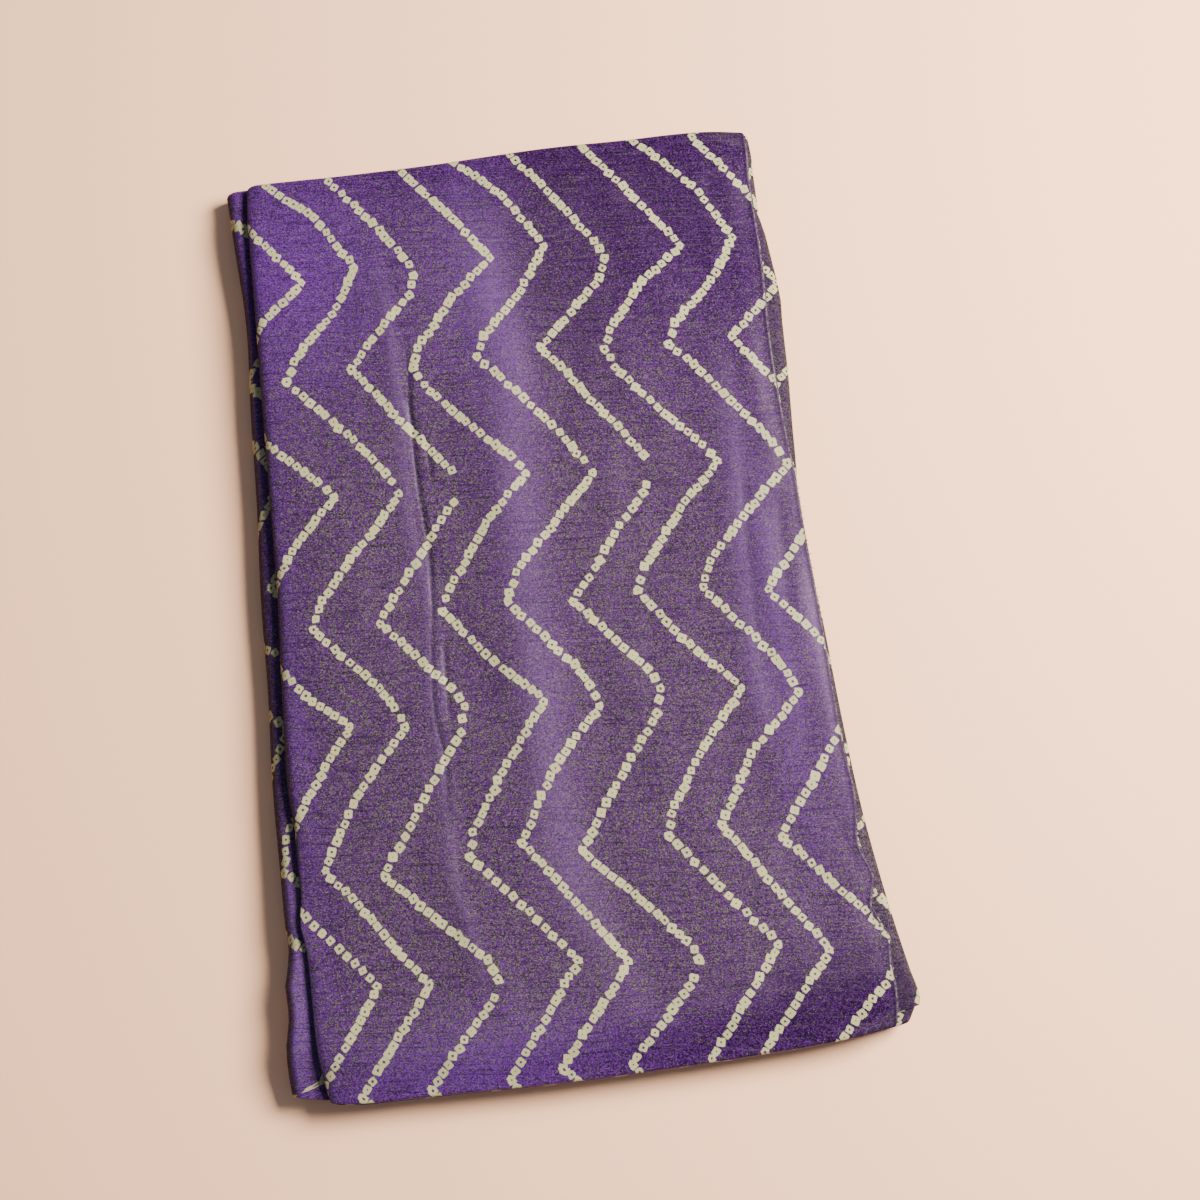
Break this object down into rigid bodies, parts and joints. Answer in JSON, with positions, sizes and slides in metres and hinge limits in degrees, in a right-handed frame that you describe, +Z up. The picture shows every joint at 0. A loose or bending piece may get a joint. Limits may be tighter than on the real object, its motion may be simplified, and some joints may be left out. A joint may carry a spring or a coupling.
{
  "type": "folded length of printed silk fabric",
  "caption": "Length of printed silk, turned back along its length and laid back and forth into a flat rectangular package with soft round folds and rolled ends.",
  "frame": {"origin": "on the surface that the cloth lies on, under the middle of its bounding box", "axes": "+X across the package, away from the side with the stacked round folds; +Y along the package, from the near rolled end to the far one; +Z up"},
  "size_m": [0.2864, 0.44, 0.0249],
  "materials": {
    "printed_silk": "soft satin sheen, purple and olive threads, cream dotted zigzag print"
  },
  "bodies": {
    "root": {"folded_cloth": "printed_silk"}
  },
  "joints": []
}
